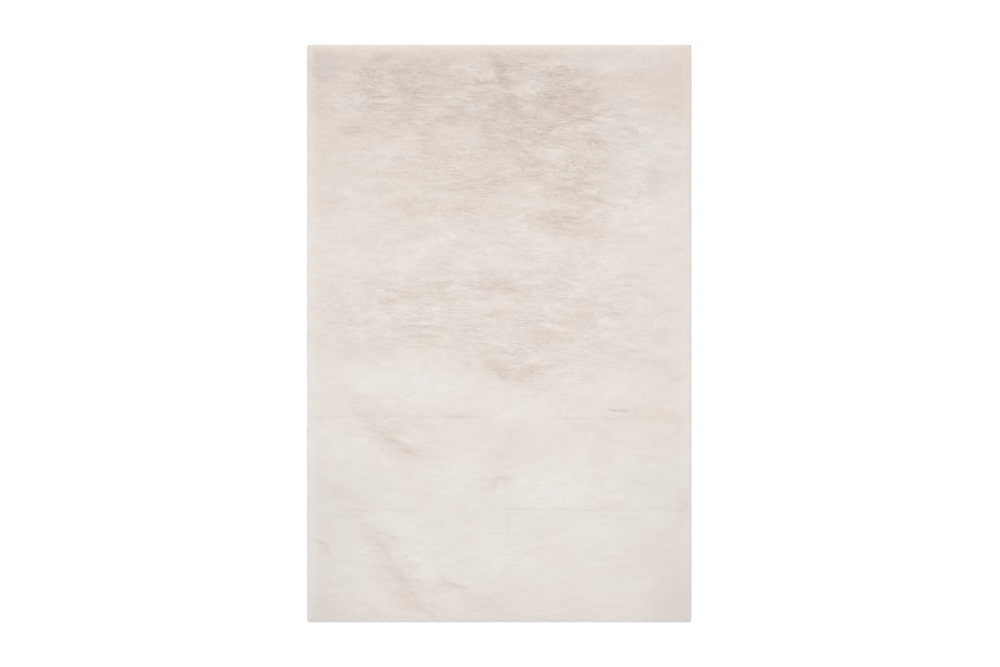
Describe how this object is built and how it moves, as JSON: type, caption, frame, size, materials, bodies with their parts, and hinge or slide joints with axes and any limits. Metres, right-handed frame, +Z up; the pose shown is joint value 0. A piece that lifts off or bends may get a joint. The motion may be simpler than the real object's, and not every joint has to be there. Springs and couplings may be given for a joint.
{
  "type": "shag rug",
  "caption": "Rectangular plush shag rug lying flat, its soft ivory pile brushed into faint lumps and troughs, with short locks drooping over the rim.",
  "frame": {"origin": "middle of the flat underside, on the floor", "axes": "+Y along the rug's length, towards the end that is at the top seen from above; +X across it to the right; +Z up out of the pile"},
  "size_m": [1.6006, 2.4005, 0.027],
  "materials": {
    "pile": "matt ivory plush, long fine fibres lying in soft locks"
  },
  "bodies": {
    "root": {"shag_rug": "pile"}
  },
  "joints": []
}
